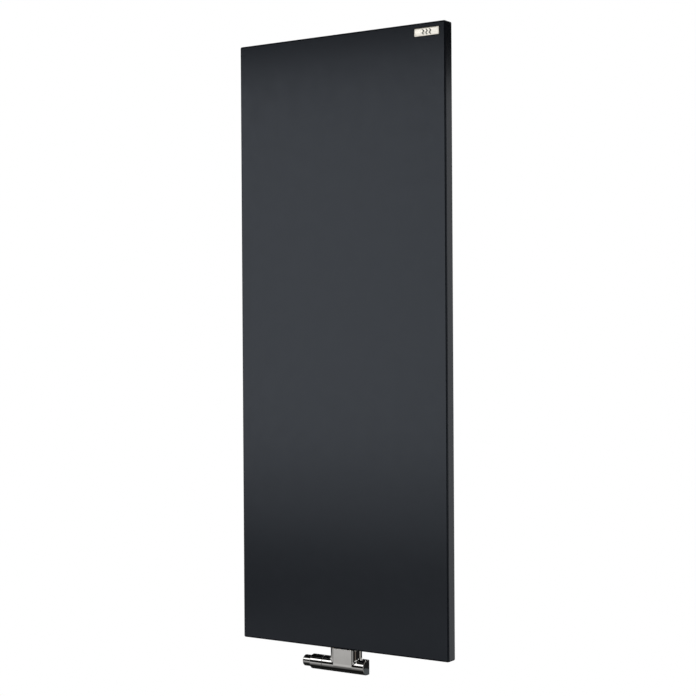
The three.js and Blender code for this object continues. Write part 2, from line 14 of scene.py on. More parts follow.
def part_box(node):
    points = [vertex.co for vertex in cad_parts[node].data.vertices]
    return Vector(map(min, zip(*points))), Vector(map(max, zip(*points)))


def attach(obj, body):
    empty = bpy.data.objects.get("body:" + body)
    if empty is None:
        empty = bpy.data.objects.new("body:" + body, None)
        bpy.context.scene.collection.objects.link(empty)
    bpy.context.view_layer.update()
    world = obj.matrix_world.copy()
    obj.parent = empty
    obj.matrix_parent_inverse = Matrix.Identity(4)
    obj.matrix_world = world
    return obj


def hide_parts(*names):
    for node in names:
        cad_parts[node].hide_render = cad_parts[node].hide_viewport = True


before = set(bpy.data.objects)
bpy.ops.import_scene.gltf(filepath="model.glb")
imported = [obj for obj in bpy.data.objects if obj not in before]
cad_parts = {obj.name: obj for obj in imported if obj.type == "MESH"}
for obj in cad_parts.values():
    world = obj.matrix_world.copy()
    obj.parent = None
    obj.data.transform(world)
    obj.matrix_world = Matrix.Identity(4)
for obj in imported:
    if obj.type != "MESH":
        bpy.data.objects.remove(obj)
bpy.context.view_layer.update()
scene = bpy.context.scene
MM = 0.001

# ---------------------------------------------------------------- finishes


def noise(tree, vector, scale, detail=2.0):
    node = tree.nodes.new("ShaderNodeTexNoise")
    node.inputs["Scale"].default_value = scale
    node.inputs["Detail"].default_value = detail
    tree.links.new(vector, node.inputs["Vector"])
    return node.outputs["Fac"]


def spread(tree, value, low, high, at=(0.3, 0.7)):
    """The value, which varies about a half, as a number between low and high."""
    node = tree.nodes.new("ShaderNodeMapRange")
    node.inputs["From Min"].default_value = at[0]
    node.inputs["From Max"].default_value = at[1]
    node.inputs["To Min"].default_value = low
    node.inputs["To Max"].default_value = high
    tree.links.new(value, node.inputs["Value"])
    return node.outputs["Result"]


def mixed(tree, value, first, second):
    """A colour between two, as the value goes from 0 to 1."""
    node = tree.nodes.new("ShaderNodeMix")
    node.data_type = "RGBA"
    node.inputs["A"].default_value = (*first, 1.0)
    node.inputs["B"].default_value = (*second, 1.0)
    tree.links.new(value, node.inputs["Factor"])
    return node.outputs["Result"]


def bumped(tree, height, distance, strength, under=None):
    node = tree.nodes.new("ShaderNodeBump")
    node.inputs["Distance"].default_value = distance
    node.inputs["Strength"].default_value = strength
    tree.links.new(height, node.inputs["Height"])
    if under:
        tree.links.new(under, node.inputs["Normal"])
    return node.outputs["Normal"]


def finish(
    name, metallic, colours, patch, roughness, smudge, layers,
    stretch=(1, 1, 1), spangle=0.0, gloss=0.5, tint=(1, 1, 1),
):
    """A finish with patches of colour, uneven roughness and layers of fine relief.

    colours and roughness each give the two ends of a range. patch and smudge are the noise scales at which they
    vary; spangle, if given, is the scale of flat cells that take their place. Each layer is (noise scale, height in
    metres, strength). stretch draws the roughness and the relief out along an axis.
    """
    material = bpy.data.materials.new(name)
    material.use_nodes = True
    tree = material.node_tree
    tree.nodes.clear()
    output = tree.nodes.new("ShaderNodeOutputMaterial")
    shader = tree.nodes.new("ShaderNodeBsdfPrincipled")
    tree.links.new(shader.outputs["BSDF"], output.inputs["Surface"])
    shader.inputs["Metallic"].default_value = metallic
    shader.inputs["Specular IOR Level"].default_value = gloss
    shader.inputs["Specular Tint"].default_value = (*tint, 1.0)
    place = tree.nodes.new("ShaderNodeTexCoord").outputs["Object"]
    mapping = tree.nodes.new("ShaderNodeMapping")
    mapping.inputs["Scale"].default_value = stretch
    tree.links.new(place, mapping.inputs["Vector"])
    drawn = mapping.outputs["Vector"]
    shade = spread(tree, noise(tree, place, patch, 4.0), 0.0, 1.0)
    rough = spread(tree, noise(tree, drawn, smudge, 3.0), *roughness)
    if spangle:
        cells = tree.nodes.new("ShaderNodeTexVoronoi")
        cells.inputs["Scale"].default_value = spangle
        tree.links.new(place, cells.inputs["Vector"])
        grey = tree.nodes.new("ShaderNodeRGBToBW")
        tree.links.new(cells.outputs["Color"], grey.inputs["Color"])
        shade = spread(tree, grey.outputs["Val"], 0.0, 1.0)
        rough = spread(tree, grey.outputs["Val"], *roughness)
    tree.links.new(mixed(tree, shade, *colours), shader.inputs["Base Color"])
    tree.links.new(rough, shader.inputs["Roughness"])
    normal = None
    for scale, distance, strength in layers:
        normal = bumped(tree, noise(tree, drawn, scale, 2.0), distance, strength, normal)
    tree.links.new(normal, shader.inputs["Normal"])
    return material


LOOKS = {
    "powder_coat": {
        "metallic": 0.0, "colours": ((0.0045, 0.0062, 0.0110), (0.0055, 0.0075, 0.0130)), "patch": 9.0,
        "roughness": (0.21, 0.25), "smudge": 26.0, "layers": ((900.0, 0.00005, 0.30), (210.0, 0.00012, 0.16)),
        "gloss": 0.56, "tint": (0.80, 0.88, 1.0),
    },
    "chrome": {
        "metallic": 1.0, "colours": ((0.76, 0.745, 0.72), (0.81, 0.795, 0.77)), "patch": 60.0,
        "roughness": (0.02, 0.045), "smudge": 140.0, "layers": ((1500.0, 0.000004, 0.10),),
        "stretch": (1.0, 0.25, 0.25),
    },
    "nickel": {
        "metallic": 1.0, "colours": ((0.70, 0.67, 0.60), (0.80, 0.77, 0.70)), "patch": 150.0,
        "roughness": (0.22, 0.34), "smudge": 300.0, "layers": ((2200.0, 0.00001, 0.25),),
        "stretch": (0.08, 1.0, 1.0),
    },
    "brass": {
        "metallic": 1.0, "colours": ((0.50, 0.34, 0.13), (0.66, 0.47, 0.20)), "patch": 70.0,
        "roughness": (0.24, 0.42), "smudge": 190.0, "layers": ((700.0, 0.00006, 0.35), (160.0, 0.0001, 0.20)),
    },
    "zinc": {
        "metallic": 1.0, "colours": ((0.50, 0.52, 0.54), (0.70, 0.72, 0.73)), "patch": 60.0,
        "roughness": (0.28, 0.50), "smudge": 120.0, "layers": ((900.0, 0.00003, 0.25),), "spangle": 190.0,
    },
    "steel": {
        "metallic": 1.0, "colours": ((0.48, 0.49, 0.50), (0.60, 0.60, 0.61)), "patch": 120.0,
        "roughness": (0.20, 0.36), "smudge": 400.0, "layers": ((1600.0, 0.00002, 0.30),),
        "stretch": (0.1, 1.0, 1.0),
    },
    "nylon": {
        "metallic": 0.0, "colours": ((0.012, 0.012, 0.014), (0.020, 0.020, 0.023)), "patch": 90.0,
        "roughness": (0.50, 0.64), "smudge": 240.0, "layers": ((1300.0, 0.00004, 0.45),),
    },
    "fibre": {
        "metallic": 0.0, "colours": ((0.055, 0.065, 0.050), (0.085, 0.095, 0.080)), "patch": 260.0,
        "roughness": (0.72, 0.88), "smudge": 500.0, "layers": ((1800.0, 0.00005, 0.50),),
    },
    "rubber": {
        "metallic": 0.0, "colours": ((0.006, 0.006, 0.006), (0.011, 0.011, 0.011)), "patch": 150.0,
        "roughness": (0.68, 0.82), "smudge": 300.0, "layers": ((1500.0, 0.00004, 0.40),),
    },
    "enamel": {
        "metallic": 0.0, "colours": ((0.018, 0.019, 0.022), (0.026, 0.027, 0.030)), "patch": 200.0,
        "roughness": (0.30, 0.42), "smudge": 300.0, "layers": ((1500.0, 0.00001, 0.20),),
    },
}
FINISHES = {name: finish(name, **look) for name, look in LOOKS.items()}

# ---------------------------------------------------------------- sizes, in millimetres

WIDTH, HEIGHT, DEPTH = 600.0, 1500.0, 30.0  # of the casing
SHEET = 2.0  # the casing's thickness
BEND = 4.0  # the outer radius of its bends
FRONT = -80.0  # the plane of its front
HEADER = 35.0  # each side of the square header tubes
HEADER_END = 280.0  # where their caps are welded on, at both ends
HEADER_AXIS_Y = -60.0
HEADER_AXIS_Z = {"bottom": 29.5, "top": 1470.5}
RISER_Y = -65.0
RISERS = [(i - 3.5) * 68.0 for i in range(8)]
VENT_X = 238.0
LUG_X = 170.0
LUG_Z = {"top": 1360.0, "bottom": 140.0}
HALF_PITCH = 25.0  # from the middle to each of the two connections
PIPE_THREAD = 1.814  # the pitch of a G1/2 thread
HEAD_AXIS = (0.0, -60.0, -42.4)  # the point that the valve's shapes are drawn about
COVER = {"radius": 18.2, "wall": 1.6, "left": -62.0, "right": 60.0, "back": 11.0, "top": 41.8}
LEFT_RIGHT = ((-1, "left"), (1, "right"))

# ---------------------------------------------------------------- making meshes


class Skin:
    """Points and faces of one piece."""

    def __init__(self):
        self.points = []
        self.faces = []

    def ring(self, points):
        """Adds a loop of points, as a list of their numbers."""
        start = len(self.points)
        self.points.extend(tuple(p) for p in points)
        return list(range(start, len(self.points)))

    def bridge(self, first, second, closed=True):
        """Faces between two loops with the same number of points."""
        count = len(first)
        for i in range(count if closed else count - 1):
            j = (i + 1) % count
            self.faces.append((first[i], first[j], second[j], second[i]))

    def tube(self, rings, looped=False):
        for first, second in zip(rings, rings[1:] + rings[:1] if looped else rings[1:]):
            self.bridge(first, second)

    def fill(self, *loops):
        """Faces that close a flat loop, less the holes that any further loops make."""
        flat = [i for loop in loops for i in loop]
        corners = tessellate_polygon([[Vector(self.points[i]) for i in loop] for loop in loops])
        self.faces.extend(tuple(flat[c] for c in corner) for corner in corners)


def piece(name, skin, look, body="root", stands_for=(), crease=35, normals=None):
    """One visible piece, riding on a body of the CAD frame."""
    mesh = bpy.data.meshes.new(name)
    mesh.from_pydata([tuple(c * MM for c in p) for p in skin.points], [], skin.faces)
    if normals is None:
        work = bmesh.new()
        work.from_mesh(mesh)
        bmesh.ops.remove_doubles(work, verts=work.verts, dist=1e-6)
        bmesh.ops.dissolve_degenerate(work, edges=work.edges, dist=1e-7)
        bmesh.ops.recalc_face_normals(work, faces=work.faces)
        work.to_mesh(mesh)
        work.free()
    mesh.shade_smooth()
    obj = bpy.data.objects.new(name, mesh)
    scene.collection.objects.link(obj)
    if normals is None:
        mesh.set_sharp_from_angle(angle=math.radians(crease))
        even = obj.modifiers.new("even normals", "WEIGHTED_NORMAL")
        even.keep_sharp = True
    else:
        mesh.normals_split_custom_set_from_vertices(normals)
    mesh.materials.append(FINISHES[look])
    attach(obj, body)
    if stands_for:
        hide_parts(*([stands_for] if isinstance(stands_for, str) else stands_for))
    return obj


AXES = {
    "x": lambda u, v, w: (w, u, v),
    "y": lambda u, v, w: (u, w, v),
    "z": lambda u, v, w: (u, v, w),
}


def laid(axis, flat, along, at=(0, 0, 0)):
    """Points of a flat outline at one place along an axis."""
    return [tuple(np.add(AXES[axis](u, v, along), at)) for u, v in flat]


def rounded(corners, radius, steps=4, closed=True):
    """A line of corners, each rounded; a corner may carry a radius of its own as its third number."""
    nearly_straight = math.radians(88)
    most = 0.48  # of each side that a rounding may use
    out = []
    count = len(corners)
    for i, corner in enumerate(corners):
        own = corner[2] if len(corner) > 2 else radius
        here = np.array(corner[:2], float)
        back = np.array(corners[i - 1][:2], float) - here
        ahead = np.array(corners[(i + 1) % count][:2], float) - here
        at_end = not closed and i in (0, count - 1)
        back_length, ahead_length = np.linalg.norm(back), np.linalg.norm(ahead)
        back, ahead = back / back_length, ahead / ahead_length
        half = math.acos(max(-1.0, min(1.0, float(back @ ahead)))) / 2
        if at_end or own <= 0 or half > nearly_straight:
            out.append(here)
            continue
        reach = min(own / math.tan(half), most * back_length, most * ahead_length)
        middle = (back + ahead) / np.linalg.norm(back + ahead)
        centre = here + middle * reach / math.cos(half)
        start, end = here + back * reach - centre, here + ahead * reach - centre
        turn = math.atan2(start[0] * end[1] - start[1] * end[0], float(start @ end))
        for k in range(steps + 1):
            c, s = math.cos(turn * k / steps), math.sin(turn * k / steps)
            out.append(centre + np.array([c * start[0] - s * start[1], s * start[0] + c * start[1]]))
    return np.array(out)


def oblong(width, height, radius, steps=5, at=(0, 0)):
    """A rectangle with round corners."""
    x, y = width / 2, height / 2
    corners = [(x, -y), (x, y), (-x, y), (-x, -y)]
    return rounded([(a + at[0], b + at[1]) for a, b in corners], radius, steps)


def circle(radius, sides, at=(0, 0)):
    turns = np.arange(sides) * 2 * math.pi / sides
    return np.stack([at[0] + radius * np.cos(turns), at[1] + radius * np.sin(turns)], 1)


def inset(outline, distance):
    """An outline that runs anticlockwise, moved inwards."""
    ahead = np.roll(outline, -1, 0) - outline
    ahead /= np.linalg.norm(ahead, axis=1)[:, None]
    normal = np.stack([-ahead[:, 1], ahead[:, 0]], 1)
    before = np.roll(normal, 1, 0)
    shared = 1 + (normal * before).sum(1)
    return outline + distance * (normal + before) / np.maximum(shared, 0.2)[:, None]


def edge_steps(start, end, edge, steps=3):
    """Places along an extrusion with round edges, each with the inset of its outline there."""
    turns = [math.pi / 2 * k / steps for k in range(steps + 1)]
    first = [(start + edge * (1 - math.cos(a)), edge * (1 - math.sin(a))) for a in turns]
    return first + [(start + end - place, depth) for place, depth in reversed(first)]


def prism(skin, axis, outline, start, end, edge, holes=(), at=(0, 0, 0), steps=3):
    """An outline given a thickness, with round edges and holes through it."""
    places = edge_steps(start, end, edge, steps)
    ends = []
    for loop, sign in [(outline, 1)] + [(hole, -1) for hole in holes]:
        rings = [skin.ring(laid(axis, inset(loop, sign * depth), place, at)) for place, depth in places]
        skin.tube(rings)
        ends.append((rings[0], rings[-1]))
    skin.fill(*[first for first, _ in ends])
    skin.fill(*[last for _, last in ends])


def turned(skin, axis, profile, sides=64, at=(0, 0, 0), looped=True, shape=None):
    """A turned shape; shape, if given, changes the radius at (radius, turn, place)."""
    turns = np.arange(sides) * 2 * math.pi / sides
    rings = []
    for radius, place in profile:
        reach = np.full(sides, float(radius)) if shape is None else shape(radius, turns, place)
        flat = np.stack([reach * np.cos(turns), reach * np.sin(turns)], 1)
        rings.append(skin.ring(laid(axis, flat, place, at)))
    skin.tube(rings, looped)
    return rings


def bead(skin, path, radius, normal, closed=True):
    """A weld bead along a path in a plane, with its ripples."""
    sides, pitch, ripple, drift = 8, 1.9, 0.10, 0.04
    path = np.array(path, float)
    ahead = np.roll(path, -1, 0) - np.roll(path, 1, 0)
    if not closed:
        ahead[0], ahead[-1] = path[1] - path[0], path[-1] - path[-2]
    ahead /= np.linalg.norm(ahead, axis=1)[:, None]
    up = np.array(normal, float)
    side = np.cross(ahead, up)
    run = np.concatenate([[0], np.cumsum(np.linalg.norm(np.diff(path, axis=0), axis=1))])
    rings = []
    for i, point in enumerate(path):
        size = radius * (1 + ripple * math.sin(2 * math.pi * run[i] / pitch) + drift * math.sin(run[i] * 0.7))
        if not closed:
            size *= math.sqrt(max(0.02, min(1.0, min(run[i], run[-1] - run[i]) / radius)))
        turns = [2 * math.pi * k / sides for k in range(sides)]
        rings.append(skin.ring(point + size * (math.cos(a) * side[i] + math.sin(a) * up) for a in turns))
    skin.tube(rings, closed)
    if not closed:
        skin.fill(rings[0])
        skin.fill(rings[-1])


def walked(loop, step):
    """A closed flat loop, resampled at even steps."""
    loop = np.array(loop, float)
    ends = np.vstack([loop, loop[:1]])
    run = np.concatenate([[0], np.cumsum(np.linalg.norm(np.diff(ends, axis=0), axis=1))])
    places = np.linspace(0, run[-1], max(8, int(run[-1] / step)), endpoint=False)
    return np.stack([np.interp(places, run, ends[:, i]) for i in range(loop.shape[1])], 1)


# ---------------------------------------------------------------- blended solids


def soft_union(a, b, k):
    """The lesser of two distances, with a fillet of about k between the two shapes."""
    k = np.maximum(k, 1e-3)
    near = np.maximum(k - np.abs(a - b), 0) / k
    return np.minimum(a, b) - near * near * k / 4


def trimmed(a, b, edge):
    """The part inside both distances, with a round edge where they meet."""
    outside = np.hypot(np.maximum(a + edge, 0), np.maximum(b + edge, 0))
    return outside + np.minimum(np.maximum(a, b) + edge, 0) - edge


def smooth_step(value):
    """From 0 to 1 without a kink, as the value goes from 0 to 1."""
    t = np.clip(value, 0, 1)
    return t * t * (3 - 2 * t)


def box_distance(x, y, z, low, high, edge):
    """The distance to a box with round edges."""
    centre, half = (np.add(high, low)) / 2, (np.subtract(high, low)) / 2 - edge
    gaps = [np.abs(v - c) - h for v, c, h in zip((x, y, z), centre, half)]
    outside = np.sqrt(sum(np.maximum(g, 0) ** 2 for g in gaps))
    return outside + np.minimum(np.maximum(np.maximum(gaps[0], gaps[1]), gaps[2]), 0) - edge


def surface_of(distance, low, high, step, at):
    """The surface where the distance is nought, as a skin and its normals, from a grid between low and high."""
    passes, furthest, probe = 3, 0.6 * step, 0.05
    grids = [np.arange(a - 2 * step, b + 3 * step, step) for a, b in zip(low, high)]
    field = distance(*np.meshgrid(*grids, indexing="ij"))
    inside = field < 0
    sizes = [len(g) - 1 for g in grids]

    def corner(values, i, j, k):
        return values[i : i + sizes[0], j : j + sizes[1], k : k + sizes[2]]

    corners = [(i, j, k) for i in (0, 1) for j in (0, 1) for k in (0, 1)]
    total = sum(corner(inside, *c).astype(int) for c in corners)
    cells = np.argwhere((total > 0) & (total < 8))
    number = np.full(sizes, -1)
    number[tuple(cells.T)] = np.arange(len(cells))
    values = {c: corner(field, *c)[tuple(cells.T)] for c in corners}
    summed = np.zeros((len(cells), 3))
    crossings = np.zeros(len(cells))
    for a in corners:
        for axis in range(3):
            if a[axis]:
                continue
            b = tuple(v + (i == axis) for i, v in enumerate(a))
            crossed = (values[a] < 0) != (values[b] < 0)
            share = np.where(crossed, values[a] / np.where(crossed, values[a] - values[b], 1), 0)
            spot = np.tile(np.array(a, float), (len(cells), 1))
            spot[:, axis] = share
            summed += spot * crossed[:, None]
            crossings += crossed
    points = np.array([g[0] for g in grids]) + step * (cells + summed / crossings[:, None])

    def slope(p):
        rises = [distance(*(p + o).T) - distance(*(p - o).T) for o in np.eye(3) * probe]
        return np.stack(rises, 1) / (2 * probe)

    for _ in range(passes):
        steep = slope(points)
        move = distance(*points.T) / np.maximum((steep**2).sum(1), 0.25)
        points -= np.clip(move, -furthest, furthest)[:, None] * steep
    normals = slope(points)
    normals /= np.maximum(np.linalg.norm(normals, axis=1), 1e-6)[:, None]

    skin = Skin()
    skin.points = [tuple(p) for p in points + np.array(at)]
    for axis in range(3):
        u, v = (axis + 1) % 3, (axis + 2) % 3
        low_side = np.take(inside, range(0, inside.shape[axis] - 1), axis)
        high_side = np.take(inside, range(1, inside.shape[axis]), axis)
        for cell in np.argwhere(low_side != high_side):
            quad = []
            for du, dv in ((0, 0), (-1, 0), (-1, -1), (0, -1)):
                where = cell.copy()
                where[u] += du
                where[v] += dv
                quad.append(int(number[tuple(where)]))
            skin.faces.append(tuple(quad if low_side[tuple(cell)] else quad[::-1]))
    return skin, normals


# ---------------------------------------------------------------- the casing


def casing_ring(skin, gap, depth, lower_edge=None):
    """A loop round the casing, at a gap inside its outline and a depth behind its front.

    lower_edge lists (x, depth) along its lower side.
    """
    corner = max(BEND + 0.2 - gap, 0.6)
    outline = oblong(WIDTH - 2 * gap, HEIGHT - 2 * gap, corner, 6, (0, HEIGHT / 2))
    points = [(x, FRONT + depth, z) for x, z in outline]
    if lower_edge is not None:
        points += [(x, FRONT + d, gap) for x, d in lower_edge]
    return skin.ring(points)


def notched_edge(depth, grow):
    """The back edge of the lower flange, from left to right, with a round notch for each connection."""
    line = []
    axis_depth = HEADER_AXIS_Y - FRONT
    radius = 15 + grow
    for side, _ in LEFT_RIGHT:
        reach = math.acos((depth - axis_depth) / radius)
        turns = np.linspace(-reach, -2 * math.pi + reach, 33)
        line += [(side * HALF_PITCH + radius * math.sin(t), axis_depth + radius * math.cos(t)) for t in turns]
    return line


def make_casing():
    skin = Skin()
    edge = 0.4
    turns = np.linspace(0, math.pi / 2, 7)
    plain = [casing_ring(skin, BEND * (1 - math.sin(a)), BEND * (1 - math.cos(a))) for a in turns]
    skin.tube(plain)
    skin.fill(plain[0])
    inner_bend = BEND - SHEET
    hidden = [
        casing_ring(skin, SHEET + inner_bend * (1 - math.sin(a)), SHEET + inner_bend * (1 - math.cos(a)))
        for a in np.linspace(0, math.pi / 2, 5)
    ]
    skin.tube(hidden)
    skin.fill(hidden[0])
    back = [
        casing_ring(skin, 0, DEPTH - edge, notched_edge(DEPTH - edge, edge)),
        casing_ring(skin, edge, DEPTH, notched_edge(DEPTH, 0)),
        casing_ring(skin, SHEET - edge, DEPTH, notched_edge(DEPTH, 0)),
        casing_ring(skin, SHEET, DEPTH - edge, notched_edge(DEPTH - edge, edge)),
    ]
    skin.tube(back)
    for front_loop, back_loop in ((plain[-1], back[0]), (hidden[-1], back[-1])):
        count = len(front_loop)
        skin.bridge(front_loop, back_loop[:count], closed=False)
        skin.fill([front_loop[0], front_loop[-1], *back_loop[count - 1 :], back_loop[0]])
    piece("casing_shell", skin, "powder_coat", stands_for="casing")


# ---------------------------------------------------------------- the badge


def make_badge():
    low, high = (np.array(corner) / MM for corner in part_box("badge_plate"))
    width, height = high[0] - low[0], high[2] - low[2]
    front, back = low[1], high[1]
    middle = (low + high) / 2
    at = (middle[0], 0, middle[2])
    plate = Skin()
    prism(plate, "y", oblong(width, height, 2.6, 6), front, back, 1.2, at=at, steps=4)
    rim = [oblong(width - gap, height - gap, 2.0, 6) for gap in (4.0, 5.2)]
    prism(plate, "y", rim[0], front, front + 0.2, 0.1, [rim[1]], at=at, steps=2)
    piece("badge", plate, "nickel", stands_for="badge_plate")

    # The dark pad that the plate sits on, wider than it all round: a painted shadow along the badge's edge.
    shadow_pad = Skin()
    wider = 2.4
    prism(shadow_pad, "y", oblong(width + wider, height + wider, 3.6, 6), back - 0.35, back + 0.2, 0.1, at=at, steps=2)
    piece("badge_shadow_pad", shadow_pad, "rubber")

    # Warm air rising: three waves.
    waves = Skin()
    spacing, reach, swing, wave_length, half_width, thickness = 9.5, 6.2, 1.5, 8.8, 1.9, 0.4
    for shift in (-spacing, 0, spacing):
        rise = np.linspace(-reach, reach, 33)
        sway = swing * np.sin(rise * 2 * math.pi / wave_length)
        left = np.stack([shift + sway - half_width, rise], 1)
        right = np.stack([shift + sway + half_width, rise], 1)
        prism(waves, "y", np.vstack([right, left[::-1]]), front, front + thickness, 0.1, at=at)
    piece("badge_symbol", waves, "enamel")


# ---------------------------------------------------------------- the core

BEAD_STEP = 0.8  # between the rings of a weld bead


def make_core():
    welds = Skin()
    for level, z in HEADER_AXIS_Z.items():
        square = oblong(HEADER, HEADER, 4.0, 5)
        tube = Skin()
        prism(tube, "x", square, -HEADER_END, HEADER_END, 0.3, at=(0, HEADER_AXIS_Y, z))
        piece(f"header_tube_{level}", tube, "powder_coat", stands_for=f"header_{level}")
        for side, name in LEFT_RIGHT:
            cap = Skin()
            ends = sorted(side * (HEADER_END + beyond) for beyond in (0.3, 2.8))
            prism(cap, "x", square, *ends, 0.7, at=(0, HEADER_AXIS_Y, z))
            piece(f"end_cap_{level}_{name}", cap, "powder_coat", stands_for=f"header_cap_{level}_{name}")
            seam = walked(oblong(HEADER - 0.8, HEADER - 0.8, 3.8, 5), BEAD_STEP)
            bead(welds, laid("x", seam, side * (HEADER_END + 0.15), (0, HEADER_AXIS_Y, z)), 1.3, (1, 0, 0))

    ends = (HEADER_AXIS_Z["bottom"] + HEADER / 2 + 0.3, HEADER_AXIS_Z["top"] - HEADER / 2 - 0.3)
    for i, x in enumerate(RISERS):
        tube = Skin()
        prism(tube, "z", oblong(50, 25, 3.0, 5), *ends, 0.2, at=(x, RISER_Y, 0))
        piece(f"riser_tube_{i + 1}", tube, "powder_coat", stands_for=f"riser_{i + 1}")
        for end, sign in zip(ends, (1, -1)):
            seam = walked(oblong(50.2, 24.8, 3.0, 5), BEAD_STEP)
            bead(welds, laid("z", seam, end + sign * 0.6, (x, RISER_Y, 0)), 1.5, (0, 0, 1))

    for side, name in LEFT_RIGHT:
        socket = Skin()
        at = (side * HALF_PITCH, HEADER_AXIS_Y, 0)
        profile = rounded([(10.7, 0.5, 0.6), (13, 0.5, 0.6), (13, 11.7), (10.7, 11.7)], 0.1)
        turned(socket, "z", profile, 64, at=at)
        turned(socket, "z", thread_profile(10.9, 0.8, 11.4, PIPE_THREAD, -0.5), 64, at, False)
        piece(f"weld_socket_{name}", socket, "powder_coat", stands_for=f"socket_{name}")
        bead(welds, laid("z", walked(circle(13.1, 48), BEAD_STEP), 11.4, at), 1.2, (0, 0, 1))

    vent_seam = laid("y", walked(circle(12.6, 48), BEAD_STEP), -42.0, (VENT_X, 0, HEADER_AXIS_Z["top"]))
    bead(welds, vent_seam, 1.3, (0, 1, 0))
    for z in LUG_Z.values():
        for side, _ in LEFT_RIGHT:
            for edge in (-1, 1):
                rise = np.arange(z + 5.0, z + 38.0, BEAD_STEP)
                x = side * LUG_X + edge * 20.4
                bead(welds, [(x, -51.9, h) for h in rise], 1.4, (0, 1, 0), closed=False)
    piece("weld_beads", welds, "powder_coat", crease=70)


def thread_profile(radius, start, end, pitch, depth):
    """The section of a thread, as rings along the axis; a negative depth cuts inwards."""
    count = int((end - start) / pitch)
    line = []
    for i in range(count):
        base = start + i * pitch
        turn = ((0, 0), (0.12, 0), (0.5, depth), (0.88, 0))
        line += [(radius + rise, base + share * pitch) for share, rise in turn]
    return line + [(radius, start + count * pitch)]


BEYOND = 99  # a radius outside every hexagon, which hex_reach cuts back


def hex_reach(flats, ends):
    """The radius of a hexagon whose corners are chamfered towards both its ends."""
    corner = flats / math.sqrt(3)
    slope = 0.5

    def shape(radius, turns, place):
        flat = flats / 2 / np.cos((turns + math.pi / 6) % (math.pi / 3) - math.pi / 6)
        nearest = min(abs(place - ends[0]), abs(place - ends[1]))
        limit = min(corner, flats / 2 * 0.985 + nearest / slope)
        return np.minimum(radius, np.minimum(flat, limit))

    return shape


def hexagon(skin, axis, flats, start, end, bore, at):
    """A hexagon with chamfered corners round a bore."""
    chamfer = np.linspace(0, flats * 0.09, 7)
    places = [start + c for c in chamfer] + [end - c for c in chamfer[::-1]]
    profile = [(bore, start)] + [(BEYOND, p) for p in places] + [(bore, end)]
    turned(skin, axis, profile, 96, at, shape=hex_reach(flats, (start, end)))


def make_vent():
    at = (VENT_X, HEADER_AXIS_Y + HEADER / 2, HEADER_AXIS_Z["top"])
    boss = Skin()
    turned(boss, "y", rounded([(8.8, 0.3), (12.5, 0.3), (12.5, 8, 0.8), (8.8, 8, 0.5)], 0.1), 64, at=at)
    piece("vent_socket", boss, "powder_coat", stands_for="vent_boss")
    plug = Skin()
    hexagon(plug, "y", 22, 8.3, 13, 3.2, at)
    turned(plug, "y", [(3.2, 2), (8.4, 2), (8.4, 8.4), (3.2, 8.4)], 48, at=at)
    piece("vent_hexagon", plug, "nickel", stands_for="vent_plug")
    screw = Skin()
    prism(screw, "y", oblong(5, 5, 0.5), 13.4, 19, 0.5, at=at)
    turned(screw, "y", rounded([(0, 3), (2.9, 3), (2.9, 14.2, 0.4), (0, 14.2)], 0.4), 32, at=at)
    piece("bleed_spindle", screw, "nickel", body="bleed_screw", stands_for="bleed_screw")


# ---------------------------------------------------------------- wall fixings


def make_fixings():
    for level, z in LUG_Z.items():
        for side, name in LEFT_RIGHT:
            at = (side * LUG_X, 0, z)
            lug = Skin()
            strap = [
                (-20, -52.2, 0.3), (-17, -52.2, 0.3), (-17, -35.2, 2), (17, -35.2, 2), (17, -52.2, 0.3),
                (20, -52.2, 0.3), (20, -32.2, 5), (-20, -32.2, 5),
            ]
            prism(lug, "z", rounded(strap, 0.3, 5), 2.8, 40, 0.35, at=at)
            piece(f"hanging_lug_{level}_{name}", lug, "powder_coat", stands_for=f"lug_{level}_{name}")

            bracket = Skin()
            slots = [oblong(8, 14, 3.98, 8, (0, offset)) for offset in (-28, 28)]
            prism(bracket, "y", oblong(28, 90, 4, 6), -3, 0, 0.4, slots, at)
            arm = [(-2.6, -3, 0.2), (-2.6, 0, 0.2), (-41, 0, 2), (-41, 16, 0.4), (-44, 16, 0.4), (-44, -3, 5)]
            prism(bracket, "x", rounded(arm[::-1], 0.3, 6)[::-1], -14, 14, 0.4, at=at)
            for height in (0.2, -3.2):
                line = [(at[0] + x, -3.2, z + height) for x in np.arange(-13.0, 13.1, 0.7)]
                bead(bracket, line, 1.2, (0, 1, 0), closed=False)
            piece(f"wall_bracket_{level}_{name}", bracket, "zinc", stands_for=f"bracket_{level}_{name}")

            clip = Skin()
            saddle = [
                (-40.7, 0.3), (-24, 0.3), (-24, 2.5), (-27, 2.5), (-27, 9, 1.0), (-29.5, 9, 1.0),
                (-29.5, 2.5), (-38, 2.5, 1.0), (-38, 13, 1.2), (-40.7, 13, 1.2),
            ]
            prism(clip, "x", rounded(saddle, 0.5, 4), -14, 14, 0.45, at=at)
            piece(f"clip_{level}_{name}", clip, "nylon", stands_for=f"isolator_{level}_{name}")


# ---------------------------------------------------------------- the valve
# Its shapes are drawn about HEAD_AXIS, straight below the radiator's middle.


def cover_body(x, y, z):
    """The distance to the cover as if it were solid: a barrel, two sleeves and a plate in front."""
    straight = smooth_step((x + 44) / 4)
    behind = np.maximum(y, 0) * (1 - straight)
    tube = np.hypot(np.minimum(y, 0) + behind, z) - COVER["radius"]
    tube = trimmed(tube, x - COVER["right"], 1.4)
    sleeves = np.minimum(np.hypot(x - HALF_PITCH, y), np.hypot(x + HALF_PITCH, y)) - 17.5
    sleeves = np.maximum(sleeves, -z)
    return soft_union(tube, sleeves, 0.6 + 4 * smooth_step((z - 6) / 8))


